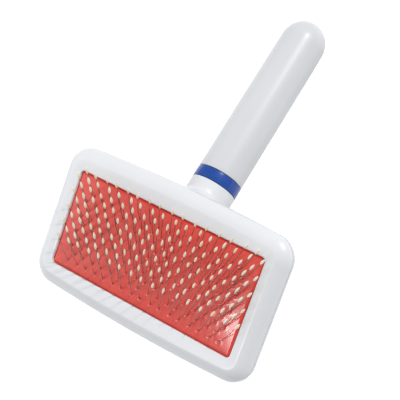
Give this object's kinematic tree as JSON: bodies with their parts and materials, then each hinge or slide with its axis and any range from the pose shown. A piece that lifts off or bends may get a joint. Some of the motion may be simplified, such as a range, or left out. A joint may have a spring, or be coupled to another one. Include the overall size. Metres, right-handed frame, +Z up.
{
  "type": "slicker brush",
  "caption": "Pet slicker brush: rounded oblong head with a cushioned pad of bent wire pins tipped with resin drops, and a round straight handle tilted behind the head.",
  "frame": {"origin": "middle of the footprint, on the surface that the brush lies on", "axes": "+Z up; +Y along the handle, from the head to the handle's domed end; +X across the head"},
  "size_m": [0.1194, 0.167, 0.0455],
  "materials": {
    "white_plastic": "smooth satin-gloss moulded plastic",
    "blue_plastic": "glossy moulded plastic",
    "red_rubber": "satin rubber sheet",
    "grey_cloth": "woven backing cloth",
    "cream_foam": "open-cell foam",
    "steel_wire": "drawn steel wire with cream resin drops on the tips"
  },
  "bodies": {
    "brush_body": {"front_frame": "white_plastic", "back_shell": "white_plastic", "rubber_facing": "red_rubber", "cloth_foundation": "grey_cloth", "foam_cushion": "cream_foam", "colour_ring": "blue_plastic", "handle_grip": "white_plastic"},
    "pins_01": {"pin_row_01": "steel_wire"},
    "pins_02": {"pin_row_02": "steel_wire"},
    "pins_03": {"pin_row_03": "steel_wire"},
    "pins_04": {"pin_row_04": "steel_wire"},
    "pins_05": {"pin_row_05": "steel_wire"},
    "pins_06": {"pin_row_06": "steel_wire"},
    "pins_07": {"pin_row_07": "steel_wire"},
    "pins_08": {"pin_row_08": "steel_wire"},
    "pins_09": {"pin_row_09": "steel_wire"},
    "pins_10": {"pin_row_10": "steel_wire"}
  },
  "joints": [
    {"name": "pin_row_01_flex", "type": "hinge", "parent": "brush_body", "child": "pins_01", "pos_m": [0, -0.06978, 0.01354], "axis": [1, 0, 0], "range_deg": [-6, 6], "stiffness_Nm_per_rad": 0.2},
    {"name": "pin_row_02_flex", "type": "hinge", "parent": "brush_body", "child": "pins_02", "pos_m": [0, -0.06659, 0.0151], "axis": [1, 0, 0], "range_deg": [-6, 6], "stiffness_Nm_per_rad": 0.2},
    {"name": "pin_row_03_flex", "type": "hinge", "parent": "brush_body", "child": "pins_03", "pos_m": [0, -0.06339, 0.01667], "axis": [1, 0, 0], "range_deg": [-6, 6], "stiffness_Nm_per_rad": 0.2},
    {"name": "pin_row_04_flex", "type": "hinge", "parent": "brush_body", "child": "pins_04", "pos_m": [0, -0.06019, 0.01824], "axis": [1, 0, 0], "range_deg": [-6, 6], "stiffness_Nm_per_rad": 0.2},
    {"name": "pin_row_05_flex", "type": "hinge", "parent": "brush_body", "child": "pins_05", "pos_m": [0, -0.05699, 0.0198], "axis": [1, 0, 0], "range_deg": [-6, 6], "stiffness_Nm_per_rad": 0.2},
    {"name": "pin_row_06_flex", "type": "hinge", "parent": "brush_body", "child": "pins_06", "pos_m": [0, -0.0538, 0.02137], "axis": [1, 0, 0], "range_deg": [-6, 6], "stiffness_Nm_per_rad": 0.2},
    {"name": "pin_row_07_flex", "type": "hinge", "parent": "brush_body", "child": "pins_07", "pos_m": [0, -0.0506, 0.02293], "axis": [1, 0, 0], "range_deg": [-6, 6], "stiffness_Nm_per_rad": 0.2},
    {"name": "pin_row_08_flex", "type": "hinge", "parent": "brush_body", "child": "pins_08", "pos_m": [0, -0.0474, 0.0245], "axis": [1, 0, 0], "range_deg": [-6, 6], "stiffness_Nm_per_rad": 0.2},
    {"name": "pin_row_09_flex", "type": "hinge", "parent": "brush_body", "child": "pins_09", "pos_m": [0, -0.04421, 0.02607], "axis": [1, 0, 0], "range_deg": [-6, 6], "stiffness_Nm_per_rad": 0.2},
    {"name": "pin_row_10_flex", "type": "hinge", "parent": "brush_body", "child": "pins_10", "pos_m": [0, -0.04101, 0.02763], "axis": [1, 0, 0], "range_deg": [-6, 6], "stiffness_Nm_per_rad": 0.2}
  ]
}
